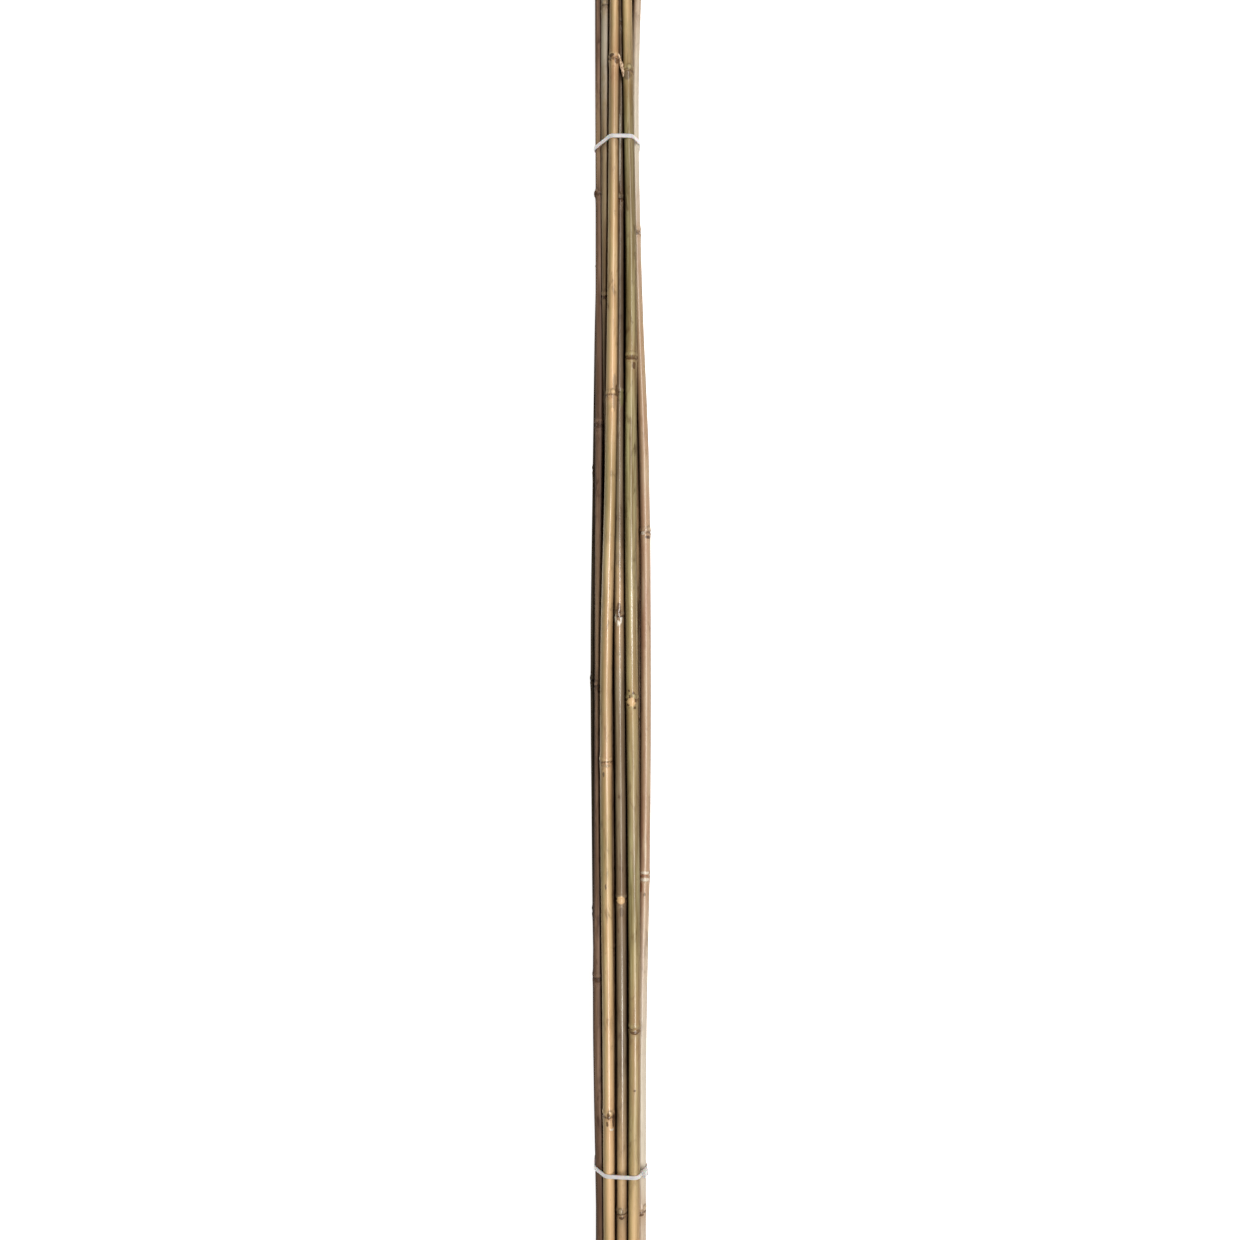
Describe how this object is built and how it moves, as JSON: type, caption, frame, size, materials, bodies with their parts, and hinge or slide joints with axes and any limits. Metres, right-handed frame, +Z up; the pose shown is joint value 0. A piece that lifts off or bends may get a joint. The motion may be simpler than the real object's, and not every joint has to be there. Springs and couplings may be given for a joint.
{
  "type": "bundle of bamboo canes",
  "caption": "Long slender bundle of dried bamboo canes with ringed nodes and trimmed bud stubs, strapped near both ends with white nylon cable ties.",
  "frame": {"origin": "centre of the bounding box's underside, which is the underside of the tie straps the bundle lies on", "axes": "+Y along the canes towards their thin tip ends, +X to the right when seen from above with the tips away from the viewer, +Z up from the surface the bundle lies on"},
  "size_m": [0.0634, 1.5, 0.0437],
  "materials": {
    "cane_top_1": "natural bamboo skin, satin where it is still waxy",
    "cane_top_2": "weathered bamboo skin, matte",
    "cane_top_3": "natural bamboo skin, satin where it is still waxy",
    "cane_top_4": "natural bamboo skin, satin where it is still waxy",
    "cane_middle_1": "weathered bamboo skin, matte",
    "cane_middle_2": "weathered bamboo skin, matte",
    "cane_middle_3": "weathered bamboo skin, matte",
    "cane_bottom_1": "weathered bamboo skin, matte",
    "cane_bottom_2": "weathered bamboo skin, matte",
    "cane_bottom_3": "weathered bamboo skin, matte",
    "cane_bottom_4": "weathered bamboo skin, matte",
    "cable_tie": "natural white nylon, softly glossy"
  },
  "bodies": {
    "root": {"cane_top_1": "cane_top_1", "cane_top_2": "cane_top_2", "cane_top_3": "cane_top_3", "cane_top_4": "cane_top_4", "cane_middle_1": "cane_middle_1", "cane_middle_2": "cane_middle_2", "cane_middle_3": "cane_middle_3", "cane_bottom_1": "cane_bottom_1", "cane_bottom_2": "cane_bottom_2", "cane_bottom_3": "cane_bottom_3", "cane_bottom_4": "cane_bottom_4", "cable_tie_tip": "cable_tie", "cable_tie_butt": "cable_tie"}
  },
  "joints": []
}
